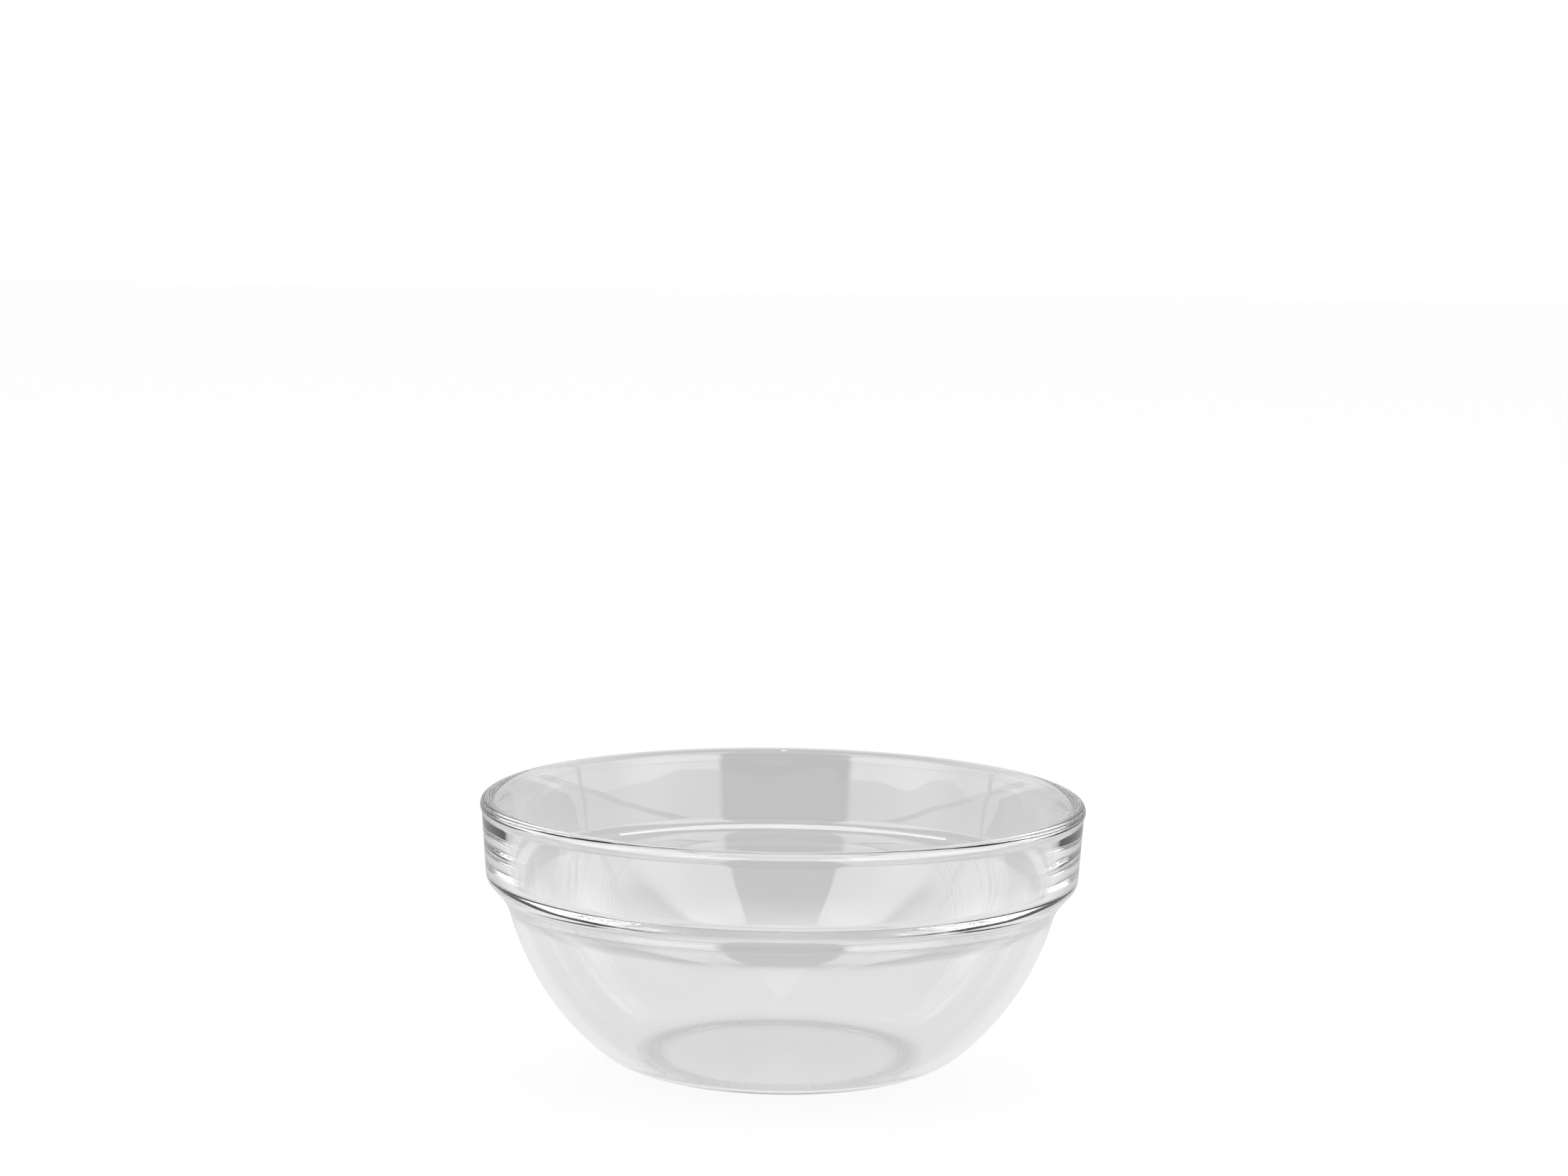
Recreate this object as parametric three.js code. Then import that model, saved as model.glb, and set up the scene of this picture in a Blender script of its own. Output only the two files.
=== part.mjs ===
// Stacking glass bowl: one pressing of clear, tempered soda-lime glass.
// Millimetres, +Z up. The origin is on the bowl's axis, in the plane that it rests on.
//
// The bowl is one section revolved about its axis. From the middle of the underside, outwards and
// over the lip to the middle of the floor, the section has a shallow recess, a flat resting ring,
// a rounded heel, the arc of the body, a concave neck, a conical shoulder, a leaning collar, a
// beaded lip, and then the collar's inner face, the ledge, the inner arc and the floor.
// Bowls stack with the shoulder of the upper one seated on the lip of the lower one.

import * as THREE from 'three';

// Overall size
const rimDiameter = 140;
const bowlHeight = 62.5;

// Lip and collar
const lipThickness = 3.5;          // diameter of the round bead that ends the wall
const lipProud = 0.3;              // how far the bead stands out past the collar
const lipBlendRadius = 2.5;        // hollow blend from the bead into the collar
const collarHeight = 18.7;         // from the crest of the lip to the collar's lower corner
const collarLean = 4;              // degrees that the collar's outer face closes in downwards
const insideLean = 8;              // degrees that its inner face closes in, which thickens the wall
const collarCornerRadius = 3.8;

// Shoulder and neck
const shoulderWidth = 4.85;        // how far the neck is set in from the collar's lower corner
const shoulderDrop = 5.4;          // how far the neck lies below that corner
const neckBlendRadius = 12;

// Body, heel and foot
const bodyCurveRadius = 62.5;      // outer arc of the body
const bodyWall = 3.3;              // level with the centre of that arc
const bodyTaper = 0.8;             // drop of the inner arc's centre, which thins the wall downwards
const heelRadius = 19.5;
const restingRingOuter = 61;       // diameter where the flat ring turns up into the heel
const recessDiameter = 57;         // inner diameter of the resting ring
const recessDepth = 0.4;
const recessWallAngle = 35;        // degrees between the recess's wall and the resting plane
const recessEdgeRadius = 0.5;

// Inside
const ledgeDepth = 18;             // from the crest of the lip to the ledge's outer corner
const ledgeSlope = 45;             // degrees that the ledge falls towards the axis
const ledgeCornerRadius = 2.5;
const ledgeEdgeRadius = 2.5;
const floorThickness = 2.4;        // glass between the recess and the floor
const floorBlendRadius = 8;

// Facets
const segmentsAround = 84;
const chordError = 0.05;           // largest gap between an arc of the section and its chords

const point = (r, z) => new THREE.Vector2(r, z);

const polar = (degrees) => {
  const angle = THREE.MathUtils.degToRad(degrees);
  return point(Math.cos(angle), Math.sin(angle));
};

// The point that lies a distance from a start point, in a direction.
const along = (start, direction, distance) => start.clone().addScaledVector(direction, distance);

// Points of the shorter arc about a centre, from one point to another.
function arcPoints(centre, from, to) {
  const radius = from.distanceTo(centre);
  const startAngle = Math.atan2(from.y - centre.y, from.x - centre.x);
  const endAngle = Math.atan2(to.y - centre.y, to.x - centre.x);
  const turn = THREE.MathUtils.euclideanModulo(endAngle - startAngle + Math.PI, 2 * Math.PI) - Math.PI;
  const largestStep = 2 * Math.acos(1 - Math.min(chordError / radius, 1));
  const steps = Math.max(2, Math.ceil(Math.abs(turn) / largestStep));
  const points = [];
  for (let step = 0; step <= steps; step += 1) {
    const angle = startAngle + (turn * step) / steps;
    points.push(point(centre.x + radius * Math.cos(angle), centre.y + radius * Math.sin(angle)));
  }
  return points;
}

// Arc that rounds the corner between two straight edges of the section.
function roundedCorner(before, corner, after, radius) {
  const towardsBefore = before.clone().sub(corner).normalize();
  const towardsAfter = after.clone().sub(corner).normalize();
  const halfAngle = Math.acos(towardsBefore.dot(towardsAfter)) / 2;
  const setback = radius / Math.tan(halfAngle);
  const bisector = towardsBefore.clone().add(towardsAfter).normalize();
  const centre = along(corner, bisector, radius / Math.sin(halfAngle));
  return arcPoints(centre, along(corner, towardsBefore, setback), along(corner, towardsAfter, setback));
}

// Where two circles cross: the crossing to the left of the way from the first centre to the second.
function crossingToLeft(centreA, radiusA, centreB, radiusB) {
  const between = centreB.clone().sub(centreA);
  const gap = between.length();
  const reach = (gap * gap + radiusA * radiusA - radiusB * radiusB) / (2 * gap);
  const rise = Math.sqrt(radiusA * radiusA - reach * reach);
  const forward = between.normalize();
  const left = point(-forward.y, forward.x);
  return along(along(centreA, forward, reach), left, rise);
}

// Blend between a straight edge and a circle. The edge is given by a point on it, the way towards
// the circle, and the side on which the blend's centre lies. The blend lies outside the circle
// where outside is true, and otherwise inside it. Gives its centre and the points where it touches.
function blendToCircle(edge, circle, radius, outside) {
  const reach = outside ? circle.radius + radius : circle.radius - radius;
  const start = along(edge.point, edge.side, radius);
  const offset = start.clone().sub(circle.centre);
  const toFoot = -offset.dot(edge.way);
  const halfChord = Math.sqrt(reach * reach - offset.lengthSq() + toFoot * toFoot);
  const centre = along(start, edge.way, outside ? toFoot - halfChord : toFoot + halfChord);
  const touchEdge = along(centre, edge.side, -radius);
  const outwards = centre.clone().sub(circle.centre).normalize();
  const touchCircle = along(circle.centre, outwards, circle.radius);
  return { centre, touchEdge, touchCircle };
}

// Directions of the collar's two faces: down each of them, and square to it away from the axis
const collarDown = polar(-90 - collarLean);
const collarOut = polar(-collarLean);
const insideDown = polar(-90 - insideLean);
const insideOut = polar(-insideLean);

// Lip
const lipRadius = lipThickness / 2;
const lipCentre = point(rimDiameter / 2 - lipRadius, bowlHeight - lipRadius);
const lip = { centre: lipCentre, radius: lipRadius };
const lipCrest = along(lipCentre, polar(90), lipRadius);
const lipOuter = along(lipCentre, polar(0), lipRadius);
const lipInner = along(lipCentre, insideOut, -lipRadius);

// Outer face of the collar, and its blend up into the lip
const collarFaceTop = along(lipCentre, collarOut, lipRadius - lipProud);
const collarFoot = along(
  collarFaceTop,
  collarDown,
  (collarFaceTop.y - (bowlHeight - collarHeight)) / -collarDown.y,
);
const collarEdge = { point: collarFoot, way: collarDown.clone().negate(), side: collarOut };
const lipBlend = blendToCircle(collarEdge, lip, lipBlendRadius, true);

// Body: the outer arc runs through the neck's corner and is tangent to the heel
const neckCorner = point(collarFoot.x - shoulderWidth, collarFoot.y - shoulderDrop);
const heelCentre = point(restingRingOuter / 2, heelRadius);
const bodyCentre = crossingToLeft(heelCentre, bodyCurveRadius - heelRadius, neckCorner, bodyCurveRadius);
const body = { centre: bodyCentre, radius: bodyCurveRadius };
const heelTop = along(bodyCentre, heelCentre.clone().sub(bodyCentre).normalize(), bodyCurveRadius);
const heelBottom = point(heelCentre.x, 0);

// Neck: the shoulder's cone blends into the body through a hollow
const shoulderDown = neckCorner.clone().sub(collarFoot).normalize();
const shoulderEdge = {
  point: collarFoot,
  way: shoulderDown,
  side: point(-shoulderDown.y, shoulderDown.x),
};
const neckBlend = blendToCircle(shoulderEdge, body, neckBlendRadius, true);

// Recess of the underside
const recessRim = point(recessDiameter / 2, 0);
const recessWallUp = polar(180 - recessWallAngle);
const recessCorner = along(recessRim, recessWallUp, recessDepth / recessWallUp.y);
const recessMiddle = point(0, recessDepth);

// Ledge inside the collar, and its rounded edge down into the inner arc of the body
const innerBody = {
  centre: along(bodyCentre, polar(-90), bodyTaper),
  radius: bodyCurveRadius - bodyWall,
};
const ledgeCorner = along(
  lipInner,
  insideDown,
  (lipInner.y - (bowlHeight - ledgeDepth)) / -insideDown.y,
);
const ledgeWay = polar(180 + ledgeSlope);
const ledgeEdge = {
  point: ledgeCorner,
  way: ledgeWay,
  side: point(-ledgeWay.y, ledgeWay.x),
};
const ledgeBlend = blendToCircle(ledgeEdge, innerBody, ledgeEdgeRadius, true);

// Floor, and its blend up into the body
const floorHeight = recessDepth + floorThickness;
const floorMiddle = point(0, floorHeight);
const floorEdge = { point: floorMiddle, way: polar(0), side: polar(90) };
const floorBlend = blendToCircle(floorEdge, innerBody, floorBlendRadius, false);

// The section, from the middle of the underside round to the middle of the floor
const section = [
  recessMiddle,
  ...roundedCorner(recessMiddle, recessCorner, recessRim, recessEdgeRadius),
  ...roundedCorner(recessCorner, recessRim, heelBottom, recessEdgeRadius),
  ...arcPoints(heelCentre, heelBottom, heelTop),
  ...arcPoints(bodyCentre, heelTop, neckBlend.touchCircle),
  ...arcPoints(neckBlend.centre, neckBlend.touchCircle, neckBlend.touchEdge),
  ...roundedCorner(neckBlend.touchEdge, collarFoot, collarFaceTop, collarCornerRadius),
  ...arcPoints(lipBlend.centre, lipBlend.touchEdge, lipBlend.touchCircle),
  ...arcPoints(lipCentre, lipBlend.touchCircle, lipOuter),
  ...arcPoints(lipCentre, lipOuter, lipCrest),
  ...arcPoints(lipCentre, lipCrest, lipInner),
  ...roundedCorner(lipInner, ledgeCorner, ledgeBlend.touchEdge, ledgeCornerRadius),
  ...arcPoints(ledgeBlend.centre, ledgeBlend.touchEdge, ledgeBlend.touchCircle),
  ...arcPoints(innerBody.centre, ledgeBlend.touchCircle, floorBlend.touchCircle),
  ...arcPoints(floorBlend.centre, floorBlend.touchCircle, floorBlend.touchEdge),
  floorMiddle,
];

// Arcs that touch share their end point, which the outline needs only once.
const sameSpot = 1e-4;
const outline = section.filter(
  (spot, index) => index === 0 || spot.distanceTo(section[index - 1]) > sameSpot,
);

const clearGlass = new THREE.MeshStandardMaterial({
  color: 0xe8ecea,
  roughness: 0.04,
  metalness: 0,
  transparent: true,
  opacity: 0.35,
});

// A lathe turns about +Y, so the finished bowl is tipped up to stand along +Z.
const bowlGeometry = new THREE.LatheGeometry(outline, segmentsAround);
bowlGeometry.rotateX(Math.PI / 2);

const bowl = new THREE.Mesh(bowlGeometry, clearGlass);
bowl.name = 'bowl';

const glassBowl = new THREE.Group();
glassBowl.name = 'glass_bowl';
glassBowl.add(bowl);

export default glassBowl;
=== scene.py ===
import math

import bpy
import numpy as np
from mathutils import Matrix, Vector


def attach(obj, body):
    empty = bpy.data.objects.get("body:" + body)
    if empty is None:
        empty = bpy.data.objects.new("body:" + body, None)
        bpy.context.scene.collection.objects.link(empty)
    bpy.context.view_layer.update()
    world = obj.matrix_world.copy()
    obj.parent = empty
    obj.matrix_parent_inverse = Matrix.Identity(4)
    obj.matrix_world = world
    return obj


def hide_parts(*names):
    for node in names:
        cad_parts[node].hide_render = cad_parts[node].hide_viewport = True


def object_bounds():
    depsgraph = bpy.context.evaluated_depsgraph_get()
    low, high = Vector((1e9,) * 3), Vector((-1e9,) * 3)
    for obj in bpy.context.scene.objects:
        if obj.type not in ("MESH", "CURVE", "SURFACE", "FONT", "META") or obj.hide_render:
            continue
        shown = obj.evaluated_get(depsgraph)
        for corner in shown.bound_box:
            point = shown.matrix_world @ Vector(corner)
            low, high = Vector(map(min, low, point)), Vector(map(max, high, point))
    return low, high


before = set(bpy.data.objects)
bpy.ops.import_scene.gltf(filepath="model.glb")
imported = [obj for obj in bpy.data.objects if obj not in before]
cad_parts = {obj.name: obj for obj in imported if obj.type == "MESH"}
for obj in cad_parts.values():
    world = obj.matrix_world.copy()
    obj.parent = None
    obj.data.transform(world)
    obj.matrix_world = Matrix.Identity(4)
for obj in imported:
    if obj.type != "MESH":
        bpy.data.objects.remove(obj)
cadLow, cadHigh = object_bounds()
scene = bpy.context.scene
scene.view_settings.view_transform = "Standard"
print("frame loaded, CAD box", [round(v, 4) for v in cadHigh - cadLow])

mm = 0.001
rimRadius = (cadHigh.x - cadLow.x) / 2 / mm
bowlHeight = (cadHigh.z - cadLow.z) / mm

# Camera: where the photograph was taken from

cameraSetup = {
    "distance": 980.0,      # mm, level distance from the bowl's axis
    "rimElevation": 10.145,  # degrees, how steeply the rim's middle is looked down on
    "pitch": 7.366,         # degrees, how far the lens points down
    "turn": 0.03,           # degrees to the left
    "roll": 0.85,           # degrees, the picture leans clockwise
    "focalPixels": 6058.5,  # focal length in pixels of the whole picture
    "pictureWidth": 2212,
    "sensorWidth": 36.0,    # mm
    "clip": (0.01, 50.0),   # m
}


def makeCamera(s):
    data = bpy.data.cameras.new("photoCamera")
    data.sensor_width = s["sensorWidth"]
    data.lens = s["focalPixels"] / s["pictureWidth"] * data.sensor_width
    data.clip_start, data.clip_end = s["clip"]
    camera = bpy.data.objects.new("photoCamera", data)
    height = bowlHeight + s["distance"] * math.tan(math.radians(s["rimElevation"]))
    aim = (Matrix.Rotation(math.radians(s["turn"]), 4, "Z")
           @ Matrix.Rotation(math.radians(90 - s["pitch"]), 4, "X")
           @ Matrix.Rotation(math.radians(s["roll"]), 4, "Z"))
    camera.matrix_world = Matrix.Translation((0, -s["distance"] * mm, height * mm)) @ aim
    scene.collection.objects.link(camera)
    scene.camera = camera


makeCamera(cameraSetup)
print("camera made")

# Bowl: one section turned about the axis. Sizes in mm, angles in degrees.
# Points of the section are complex numbers, r + z*1j.

bowlForm = {
    "lipThickness": 3.5,
    "lipProud": 0.3,        # how far the lip stands out past the collar
    "lipBlend": 2.5,
    "collarHeight": 18.7,   # from the crest of the lip to the lower corner
    "collarLean": 4.0,
    "insideLean": 9.5,
    "collarCorner": 3.8,
    "shoulderWidth": 4.85,
    "shoulderDrop": 5.4,
    "neckBlend": 12.0,
    "bodyCurve": 62.5,
    "bodyWall": 3.3,        # wall beside the arc's centre
    "bodyTaper": 0.8,       # drop of the inner arc, which thins the wall towards the foot
    "heel": 19.5,
    "ringOuter": 61.0,      # foot ring, from this diameter in to the next
    "recessDiameter": 57.0,
    "recessDepth": 0.4,
    "recessWallAngle": 35.0,
    "recessEdge": 0.5,
    "ledgeDepth": 17.5,     # below the crest of the lip
    "ledgeSlope": 43.2,
    "ledgeCorner": 3.0,
    "ledgeEdge": 3.0,
    "floorThickness": 2.4,
    "floorBlend": 8.0,
    "waveCount": 10,
    "waveSeed": 5,
    "waveTurns": (5, 24),   # range of whole waves round the bowl, its end left out
    "waveLength": 20.0,     # shortest wave along the section
    "waveOutside": 0.10,
    "waveInside": 0.02,
    "waveFrom": 45.5,       # height where the collar's waves start
    "waveSoft": 4.0,
    "waveBody": 0.15,       # share of them that the body has
    "waveAboveFoot": 2.0,   # no waves nearer to the foot
    "waveBelowCrest": 4.0,  # or to the crest
    "waveEase": 6.0,        # and full ones this far from there
    "stepLength": 1.0,      # between points along the section
    "stepTurn": 6.0,        # between points on its arcs
    "arcLeast": 4,          # steps of a short arc
    "edgeHold": 0.15,       # flat stretches are held this near their ends
    "holdShare": 0.2,       # but short ones no further in than this share
    "samePoint": 1e-6,
    "around": 330,
}


# Unit step in a direction
def heading(degrees):
    return np.exp(1j * np.radians(degrees))


def dot(a, b):
    return (a * np.conj(b)).real


# Shorter arc about a centre
def arc(s, centre, start, end):
    turn = np.angle((end - centre) / (start - centre))
    length = abs(turn) * abs(start - centre)
    steps = max(length / s["stepLength"], np.degrees(abs(turn)) / s["stepTurn"])
    count = int(max(s["arcLeast"], np.ceil(steps)))
    return centre + (start - centre) * np.exp(1j * turn * np.linspace(0, 1, count + 1))


def straight(s, start, end):
    length = abs(end - start)
    hold = min(s["edgeHold"] / length, s["holdShare"])
    count = int(max(1, np.ceil(length / s["stepLength"])))
    steps = np.concatenate([[0], np.linspace(hold, 1 - hold, count + 1), [1]])
    return start + (end - start) * steps


# Arc that rounds the corner between two straight edges
def corner(s, before, at, after, radius):
    a = (before - at) / abs(before - at)
    b = (after - at) / abs(after - at)
    half = np.arccos(dot(a, b)) / 2
    centre = at + (a + b) / abs(a + b) * radius / np.sin(half)
    setback = radius / np.tan(half)
    return arc(s, centre, at + a * setback, at + b * setback)


# Blend from a straight edge to a circle: centre, point on the edge, point on the circle
def blend(at, way, side, centre, circle, radius, outside):
    reach = circle + radius if outside else circle - radius
    start = at + side * radius
    toFoot = -dot(start - centre, way)
    halfChord = np.sqrt(reach**2 - abs(start - centre)**2 + toFoot**2)
    middle = start + way * (toFoot - halfChord if outside else toFoot + halfChord)
    return middle, middle - side * radius, centre + (middle - centre) / abs(middle - centre) * circle


# Outline from the middle of the underside, over the lip, to the middle of the floor
def bowlSection(s):
    down, out = heading(-90 - s["collarLean"]), heading(-s["collarLean"])
    lip = s["lipThickness"] / 2
    lipCentre = rimRadius - lip + (bowlHeight - lip) * 1j
    crest, lipOuter = lipCentre + lip * 1j, lipCentre + lip
    insideDown = heading(-90 - s["insideLean"])
    lipInner = lipCentre - lip * heading(-s["insideLean"])

    faceTop = lipCentre + out * (lip - s["lipProud"])
    collarFoot = faceTop + down * (faceTop.imag - bowlHeight + s["collarHeight"]) / -down.imag
    lipMid, lipFrom, lipTo = blend(collarFoot, -down, out, lipCentre, lip, s["lipBlend"], True)

    neck = collarFoot - s["shoulderWidth"] - s["shoulderDrop"] * 1j
    heel = s["ringOuter"] / 2 + s["heel"] * 1j
    span = abs(neck - heel)
    reach = (span**2 + (s["bodyCurve"] - s["heel"])**2 - s["bodyCurve"]**2) / (2 * span)
    rise = np.sqrt((s["bodyCurve"] - s["heel"])**2 - reach**2)
    body = heel + (neck - heel) / span * (reach + rise * 1j)
    heelTop = body + (heel - body) / abs(heel - body) * s["bodyCurve"]
    cone = (neck - collarFoot) / abs(neck - collarFoot)
    neckMid, neckEdge, neckBody = blend(collarFoot, cone, cone * 1j, body, s["bodyCurve"],
                                        s["neckBlend"], True)

    ringInner = s["recessDiameter"] / 2 + 0j
    up = heading(180 - s["recessWallAngle"])
    recess = ringInner + up * s["recessDepth"] / up.imag
    middle = s["recessDepth"] * 1j

    inner = s["bodyCurve"] - s["bodyWall"]
    hollow = body - s["bodyTaper"] * 1j
    ledge = lipInner + insideDown * (lipInner.imag - bowlHeight + s["ledgeDepth"]) / -insideDown.imag
    fall = heading(180 + s["ledgeSlope"])
    ledgeMid, ledgeFrom, ledgeTo = blend(ledge, fall, fall * 1j, hollow, inner, s["ledgeEdge"], True)
    floor = (s["recessDepth"] + s["floorThickness"]) * 1j
    floorMid, floorFlat, floorBody = blend(floor, 1 + 0j, 1j, hollow, inner, s["floorBlend"], False)

    recessIn = corner(s, middle, recess, ringInner, s["recessEdge"])
    ringIn = corner(s, recess, ringInner, s["ringOuter"] / 2 + 0j, s["recessEdge"])
    collarTurn = corner(s, neckEdge, collarFoot, faceTop, s["collarCorner"])
    ledgeTurn = corner(s, lipInner, ledge, ledgeFrom, s["ledgeCorner"])
    runs = [
        straight(s, middle, recessIn[0]), recessIn,
        straight(s, recessIn[-1], ringIn[0]), ringIn,
        straight(s, ringIn[-1], heel.real + 0j), arc(s, heel, heel.real + 0j, heelTop),
        arc(s, body, heelTop, neckBody), arc(s, neckMid, neckBody, neckEdge),
        straight(s, neckEdge, collarTurn[0]), collarTurn,
        straight(s, collarTurn[-1], lipFrom), arc(s, lipMid, lipFrom, lipTo),
        arc(s, lipCentre, lipTo, lipOuter), arc(s, lipCentre, lipOuter, crest),
        arc(s, lipCentre, crest, lipInner),
        straight(s, lipInner, ledgeTurn[0]), ledgeTurn,
        straight(s, ledgeTurn[-1], ledgeFrom), arc(s, ledgeMid, ledgeFrom, ledgeTo),
        arc(s, hollow, ledgeTo, floorBody), arc(s, floorMid, floorBody, floorFlat),
        straight(s, floorFlat, floor),
    ]
    line = np.concatenate(runs)
    keep = np.concatenate([[True], abs(np.diff(line)) > s["samePoint"]])
    return line[keep]


# Waves of the pressed surface: mean of sin(k*a + m*t + p), a round the bowl and t along the section.
# They lie along the section's normal, stronger outside than inside, and none near foot and lip.
def waves(s, line, angle):
    rng = np.random.default_rng(s["waveSeed"])
    turns = rng.integers(*s["waveTurns"], s["waveCount"])[:, None, None]
    rises = rng.uniform(-1, 1, s["waveCount"])[:, None, None] * 2 * np.pi / s["waveLength"]
    starts = rng.uniform(0, 2 * np.pi, s["waveCount"])[:, None, None]
    along = np.cumsum(np.abs(np.diff(line, prepend=line[0])))[:, None]
    height = np.sin(turns * angle + rises * along + starts).mean(0)
    z = line.imag
    clear = np.minimum(z - s["waveAboveFoot"], bowlHeight - s["waveBelowCrest"] - z)
    clear = np.clip(clear / s["waveEase"], 0, 1)
    onCollar = np.clip((z - s["waveFrom"]) / s["waveSoft"], 0, 1)
    clear = clear * (s["waveBody"] + (1 - s["waveBody"]) * onCollar)
    outside = np.arange(len(line)) < np.argmax(z)
    depth = np.where(outside, s["waveOutside"], s["waveInside"]) * clear
    normal = np.gradient(line) * -1j
    return (normal / abs(normal) * depth)[:, None] * height


# The section turned: x = r*cos(a), y = r*sin(a), with a fan of triangles at each end of it
def bowlMesh(s):
    line = bowlSection(s)
    angle = np.linspace(0, 2 * np.pi, s["around"], endpoint=False)
    ring = (line[:, None] + waves(s, line, angle))[1:-1]
    r, z = ring.real, ring.imag
    grid = np.stack([r * np.cos(angle), r * np.sin(angle), z], -1)
    low, high = [[0, 0, line[0].imag]], [[0, 0, line[-1].imag]]
    points = np.concatenate([low, grid.reshape(-1, 3), high]) * mm
    rows, n = len(ring), s["around"]
    ids = 1 + np.arange(rows * n).reshape(rows, n)
    a, b = ids[:-1], np.roll(ids[:-1], -1, 1)
    c, d = np.roll(ids[1:], -1, 1), ids[1:]
    quads = np.stack([a, b, c, d], -1).reshape(-1, 4)
    under = np.stack([np.zeros(n, int), np.roll(ids[0], -1), ids[0]], -1)
    inside = np.stack([np.full(n, len(points) - 1), ids[-1], np.roll(ids[-1], -1)], -1)
    mesh = bpy.data.meshes.new("bowl_glass")
    mesh.from_pydata(points.tolist(), [], quads.tolist() + under.tolist() + inside.tolist())
    mesh.polygons.foreach_set("use_smooth", np.ones(len(mesh.polygons), bool))
    mesh.update()
    print("bowl mesh", len(points), "points")
    return mesh


bowl = bpy.data.objects.new("bowl_glass", bowlMesh(bowlForm))
scene.collection.objects.link(bowl)
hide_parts("bowl")
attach(bowl, "root")

# Shader node helpers


def calc(tree, operation, *values):
    node = tree.nodes.new("ShaderNodeMath")
    node.operation = operation
    for socket, value in zip(node.inputs, values):
        if isinstance(value, (int, float)):
            socket.default_value = value
        else:
            tree.links.new(value, socket)
    return node.outputs[0]


# Smooth change from low to high while the source passes from one edge to the other
def ramp(tree, source, edge, low=0.0, high=1.0):
    node = tree.nodes.new("ShaderNodeMapRange")
    node.interpolation_type = "SMOOTHSTEP"
    for name, value in zip(("From Min", "From Max", "To Min", "To Max"), (*edge, low, high)):
        node.inputs[name].default_value = value
    tree.links.new(source, node.inputs["Value"])
    return node.outputs["Result"]


def product(tree, first, *others):
    for other in others:
        first = calc(tree, "MULTIPLY", first, other)
    return first


# Coordinates along X, Y and Z
def split(tree, output):
    where = tree.nodes.new("ShaderNodeTexCoord")
    axes = tree.nodes.new("ShaderNodeSeparateXYZ")
    tree.links.new(where.outputs[output], axes.inputs[0])
    return axes.outputs


# Distance from the axis, from split axes
def fromAxis(tree, axes):
    squares = [calc(tree, "MULTIPLY", axes[name], axes[name]) for name in "XY"]
    return calc(tree, "SQRT", calc(tree, "ADD", *squares))


# Glass. Sizes in metres, scales per metre.

glassLook = {
    "tint": (0.95, 0.953, 0.952),
    "palerTint": (0.958, 0.958, 0.958),  # thinner streaks of the melt
    "cloudScale": 35.0,
    "cloudDetail": 2.0,
    "cloudEdge": (0.35, 0.65),
    "ior": 1.5,
    "rippleScale": 110.0,   # fine ripple of the fire-polished skin
    "rippleDetail": 1.0,
    "rippleHeight": 0.0000015,
    "scuffScale": 900.0,    # wear where the foot ring rubs on tables
    "scuffDetail": 3.0,
    "scuffEdge": (0.45, 0.7),
    "scuffRough": 0.45,
    "scuffHeight": (0.0001, 0.0005),  # it fades between these heights
    "scuffWidth": (0.0010, 0.0018),   # and these distances from the ring's middle
}


def noise(tree, scale, detail):
    node = tree.nodes.new("ShaderNodeTexNoise")
    node.inputs["Scale"].default_value = scale
    node.inputs["Detail"].default_value = detail
    where = tree.nodes.new("ShaderNodeTexCoord")
    tree.links.new(where.outputs["Object"], node.inputs["Vector"])
    return node.outputs["Fac"]


def glassMaterial(s, ringRadius):
    material = bpy.data.materials.new("clear_glass")
    material.use_nodes = True
    tree = material.node_tree
    shader = tree.nodes["Principled BSDF"]
    shader.inputs["IOR"].default_value = s["ior"]
    shader.inputs["Transmission Weight"].default_value = 1.0

    clouds = ramp(tree, noise(tree, s["cloudScale"], s["cloudDetail"]), s["cloudEdge"])
    tint = tree.nodes.new("ShaderNodeMix")
    tint.data_type = "RGBA"
    tint.inputs["A"].default_value = (*s["tint"], 1)
    tint.inputs["B"].default_value = (*s["palerTint"], 1)
    tree.links.new(clouds, tint.inputs["Factor"])
    tree.links.new(tint.outputs["Result"], shader.inputs["Base Color"])

    ripple = tree.nodes.new("ShaderNodeBump")
    ripple.inputs["Distance"].default_value = s["rippleHeight"]
    tree.links.new(noise(tree, s["rippleScale"], s["rippleDetail"]), ripple.inputs["Height"])
    tree.links.new(ripple.outputs["Normal"], shader.inputs["Normal"])

    axes = split(tree, "Object")
    offRing = calc(tree, "ABSOLUTE", calc(tree, "SUBTRACT", fromAxis(tree, axes), ringRadius))
    scuffs = noise(tree, s["scuffScale"], s["scuffDetail"])
    scuffs = ramp(tree, scuffs, s["scuffEdge"], 0.0, s["scuffRough"])
    onRing = product(tree, ramp(tree, axes["Z"], s["scuffHeight"], 1.0, 0.0),
                     ramp(tree, offRing, s["scuffWidth"], 1.0, 0.0))
    tree.links.new(product(tree, scuffs, onRing), shader.inputs["Roughness"])
    return material


ringMiddle = (bowlForm["ringOuter"] + bowlForm["recessDiameter"]) / 4 * mm
bowl.data.materials.append(glassMaterial(glassLook, ringMiddle))
print("glass made")

# Studio: floor, surround and lamps. Sizes in metres, angles in degrees.
# The surround is a light tent. Angles round it start from the camera's side.

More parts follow.
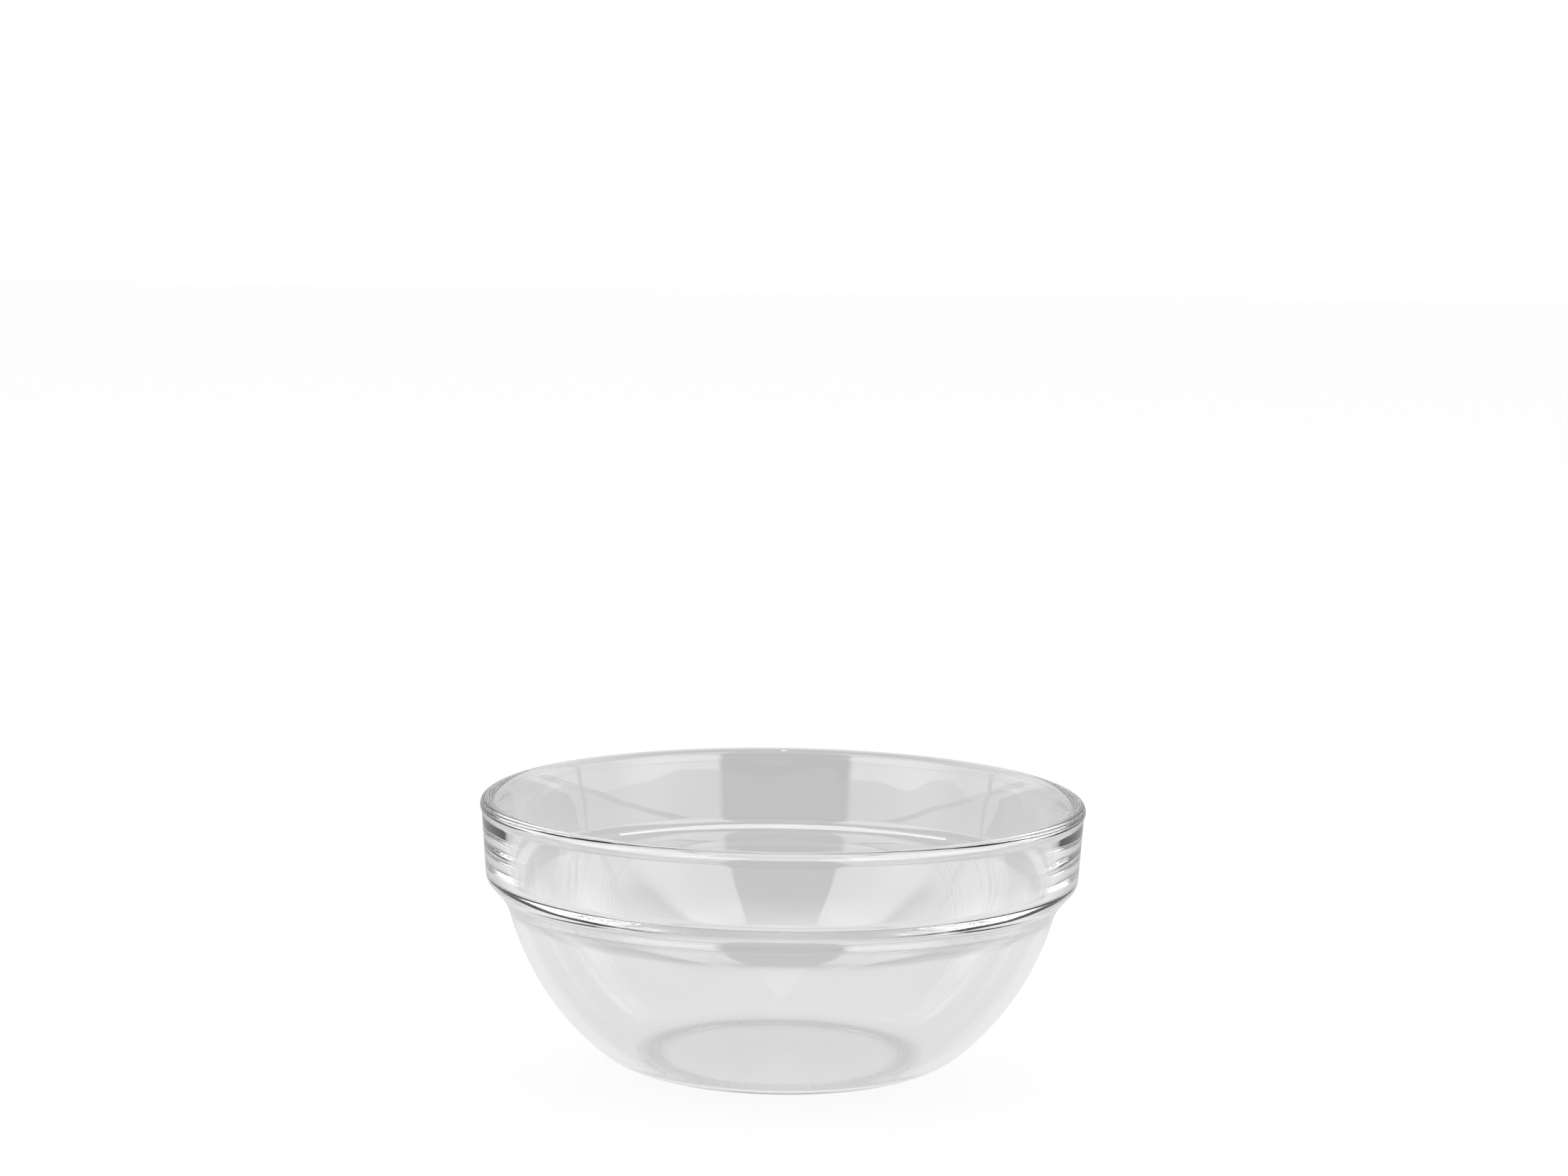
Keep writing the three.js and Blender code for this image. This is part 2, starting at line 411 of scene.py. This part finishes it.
studio = {
    "floorSize": 6.0,
    "floorDrop": 0.00005,   # hair of air under the foot ring
    "floorWhite": 0.86,     # glow of the floor for the camera, which the lamp makes up to white
    "floorMatt": 0.25,      # and how much of the lamp's light it sends back
    "floorNear": 0.85,      # painted light: glow of the floor seen in the glass, near the bowl
    "floorFar": 0.57,       # and a hand's breadth behind it, painted darker
    "fadeFrom": 0.08,
    "fadeTo": 0.145,
    "floorSides": 0.15,     # painted light: how much brighter the floor's glow is at the sides, where the side walls would light it
    "sidesFrom": (0.02, 0.05),
    "sidesFade": (0.14, 0.26),
    "sidesFar": 0.3,        # share of that left behind the bowl
    "contactDark": 0.3,     # painted shadow in the floor's glow where the foot meets it
    "contactRadius": 0.030,
    "contactWidth": 0.005,
    "ambient": 0.5,         # light on the floor from all round
    "tentTurn": -0.8,
    "wallFrom": (25.0, 29.0),  # bright walls start softly here
    "wallTo": (112.0, 150.0),  # and end behind the bowl
    "wallGlow": (3.2, 2.1),    # in front and behind
    "wallDrop": (55.0, 80.0),  # tall in front of this, low behind it
    "wallTall": 60.0,
    "wallShort": 25.0,
    "wallSoft": 12.0,
    "seamAt": 94.0,         # dark seam in each wall
    "seamHalf": 2.0,
    "seamDark": 0.7,
    "openDark": 0.2,        # dark opening round the camera
    "openTop": (26.0, 35.0),
    "roomFront": 0.9,       # rest of the surround, in front, beside and behind
    "roomSide": 0.45,
    "roomBack": 0.6,
    "lampAt": (0.0, 0.0, 1.2),  # soft lamp overhead
    "lampSize": (1.4, 1.4),
    "lampGlow": 0.5,
    "sparkAt": (0.0, 0.0617, 0.1024),  # tiny lamp that the far part of the ledge mirrors
    "sparkSize": (0.0006, 0.0145),
    "sparkTilt": -7.5,
    "sparkGlow": 7.0,
    "sparkReach": 0.27,     # how far forwards or back its light may lean
    "bounces": 32,          # longer paths stay dark, which draws the thin lines in the glass
}


# What the camera sees, what the glass shows, and what lights the floor
def bySight(tree, seen, shown, lit, out):
    path = tree.nodes.new("ShaderNodeLightPath")
    inGlass = calc(tree, "MAXIMUM", path.outputs["Is Glossy Ray"], path.outputs["Is Transmission Ray"])
    first, second = [tree.nodes.new("ShaderNodeMixShader") for i in range(2)]
    for mix, factor, off, on in ((first, inGlass, lit, shown),
                                 (second, path.outputs["Is Camera Ray"], first, seen)):
        tree.links.new(factor, mix.inputs[0])
        tree.links.new(off.outputs[0], mix.inputs[1])
        tree.links.new(on.outputs[0], mix.inputs[2])
    tree.links.new(second.outputs[0], out)


def makeWorld(s):
    world = bpy.data.worlds.new("studio")
    world.use_nodes = True
    scene.world = world
    tree = world.node_tree
    ambient, white, tent = [tree.nodes.new("ShaderNodeBackground") for i in range(3)]
    for background in (ambient, white, tent):
        background.inputs["Color"].default_value = (1, 1, 1, 1)
    ambient.inputs["Strength"].default_value = s["ambient"]

    axes = split(tree, "Generated")
    front = calc(tree, "MULTIPLY", axes["Y"], -1.0)
    turn = calc(tree, "ARCTAN2", axes["X"], front)
    around = calc(tree, "ABSOLUTE", calc(tree, "SUBTRACT", turn, math.radians(s["tentTurn"])))
    around = calc(tree, "DEGREES", around)
    rise = calc(tree, "DEGREES", calc(tree, "ARCSINE", axes["Z"]))

    inWall = ramp(tree, around, s["wallFrom"])
    wallTop = ramp(tree, around, s["wallDrop"], s["wallTall"], s["wallShort"])
    overTop = calc(tree, "SUBTRACT", rise, wallTop)
    offSeam = calc(tree, "ABSOLUTE", calc(tree, "SUBTRACT", around, s["seamAt"]))
    wall = product(tree, inWall, ramp(tree, around, s["wallTo"], 1.0, 0.0),
                   ramp(tree, around, s["wallDrop"], *s["wallGlow"]),
                   ramp(tree, overTop, (-s["wallSoft"], s["wallSoft"]), 1.0, 0.0),
                   ramp(tree, offSeam, (0.0, s["seamHalf"]), 1 - s["seamDark"], 1.0))
    room = calc(tree, "ADD", ramp(tree, around, s["wallFrom"], s["roomFront"], s["roomSide"]),
                ramp(tree, around, s["wallTo"], 0.0, s["roomBack"] - s["roomSide"]))
    opening = product(tree, calc(tree, "SUBTRACT", 1.0, inWall),
                      ramp(tree, rise, s["openTop"], 1.0, 0.0))
    room = product(tree, room, calc(tree, "SUBTRACT", 1.0, opening))
    room = calc(tree, "MAXIMUM", room, s["openDark"])
    tree.links.new(calc(tree, "MAXIMUM", wall, room), tent.inputs["Strength"])
    bySight(tree, white, tent, ambient, tree.nodes["World Output"].inputs["Surface"])


def makeFloor(s):
    half = s["floorSize"] / 2
    corners = np.array([(-1, -1), (1, -1), (1, 1), (-1, 1)]) * half
    mesh = bpy.data.meshes.new("floor")
    mesh.from_pydata([(x, y, -s["floorDrop"]) for x, y in corners], [], [(0, 1, 2, 3)])
    floor = bpy.data.objects.new("floor", mesh)
    scene.collection.objects.link(floor)

    material = bpy.data.materials.new("floor")
    material.use_nodes = True
    tree = material.node_tree
    tree.nodes.remove(tree.nodes["Principled BSDF"])
    matt, faint = [tree.nodes.new("ShaderNodeBsdfDiffuse") for i in range(2)]
    faint.inputs["Color"].default_value = (*[s["floorMatt"]] * 3, 1)
    white, glow = [tree.nodes.new("ShaderNodeEmission") for i in range(2)]
    white.inputs["Strength"].default_value = s["floorWhite"]
    seen = tree.nodes.new("ShaderNodeAddShader")
    tree.links.new(faint.outputs[0], seen.inputs[0])
    tree.links.new(white.outputs[0], seen.inputs[1])

    axes = split(tree, "Object")
    # Painted light: the floor's glow in the glass is bright near the bowl and darker behind it
    paintedFloorLight = ramp(tree, axes["Y"], (s["fadeFrom"], s["fadeTo"]), s["floorNear"], s["floorFar"])
    # Painted light: the floor's glow is brighter at the sides, less so behind the bowl
    sides = ramp(tree, calc(tree, "ABSOLUTE", axes["X"]), s["sidesFrom"], 0.0, s["floorSides"])
    sides = calc(tree, "MULTIPLY", sides, ramp(tree, axes["Y"], s["sidesFade"], 1.0, s["sidesFar"]))
    paintedFloorLight = calc(tree, "MINIMUM", calc(tree, "ADD", paintedFloorLight, sides), s["floorNear"])
    offContact = calc(tree, "SUBTRACT", fromAxis(tree, axes), s["contactRadius"])
    offContact = calc(tree, "ABSOLUTE", offContact)
    # Painted shadow: the floor's glow is darker in a ring round where the foot rests
    paintedContactShadow = ramp(tree, offContact, (0.0, s["contactWidth"]), 1 - s["contactDark"], 1.0)
    tree.links.new(calc(tree, "MULTIPLY", paintedFloorLight, paintedContactShadow), glow.inputs["Strength"])

    fromBelow = tree.nodes.new("ShaderNodeMixShader")  # the floor is clear from below
    side, clear = tree.nodes.new("ShaderNodeNewGeometry"), tree.nodes.new("ShaderNodeBsdfTransparent")
    tree.links.new(side.outputs["Backfacing"], fromBelow.inputs[0])
    bySight(tree, seen, glow, matt, fromBelow.inputs[1])
    tree.links.new(clear.outputs[0], fromBelow.inputs[2])
    tree.links.new(fromBelow.outputs[0], tree.nodes["Material Output"].inputs["Surface"])
    mesh.materials.append(material)


# Flat lamp that faces down, out of sight. The soft one gives the bowl its faint shadow on the floor.
def makeLamp(name, at, size, tilt, glow):
    data = bpy.data.lights.new(name, "AREA")
    data.shape = "RECTANGLE"
    data.size, data.size_y = size
    data.energy = glow * math.pi * size[0] * size[1]
    lamp = bpy.data.objects.new(name, data)
    lamp.location = at
    lamp.rotation_euler = (math.radians(tilt), 0, 0)
    lamp.visible_camera = lamp.visible_transmission = lamp.visible_glossy = False
    scene.collection.objects.link(lamp)
    return lamp


# The lamp shows in the ledge, but not behind glass and not in the floor of the bowl
def showInLedge(lamp, reach):
    lamp.visible_glossy = True
    lamp.data.use_nodes = True
    tree = lamp.data.node_tree
    path = tree.nodes.new("ShaderNodeLightPath")
    bare = calc(tree, "LESS_THAN", path.outputs["Transmission Depth"], 0.5)
    side, way = tree.nodes.new("ShaderNodeNewGeometry"), tree.nodes.new("ShaderNodeSeparateXYZ")
    tree.links.new(side.outputs["Incoming"], way.inputs[0])
    onLedge = calc(tree, "LESS_THAN", calc(tree, "ABSOLUTE", way.outputs["Y"]), reach)
    tree.links.new(product(tree, bare, onLedge), tree.nodes["Emission"].inputs["Strength"])


makeWorld(studio)
makeFloor(studio)
makeLamp("softLamp", studio["lampAt"], studio["lampSize"], 0.0, studio["lampGlow"])
spark = makeLamp("sparkLamp", studio["sparkAt"], studio["sparkSize"], studio["sparkTilt"],
                 studio["sparkGlow"])
showInLedge(spark, studio["sparkReach"])
scene.cycles.max_bounces = studio["bounces"]
scene.cycles.glossy_bounces = studio["bounces"]
scene.cycles.transmission_bounces = studio["bounces"]
print("studio made")
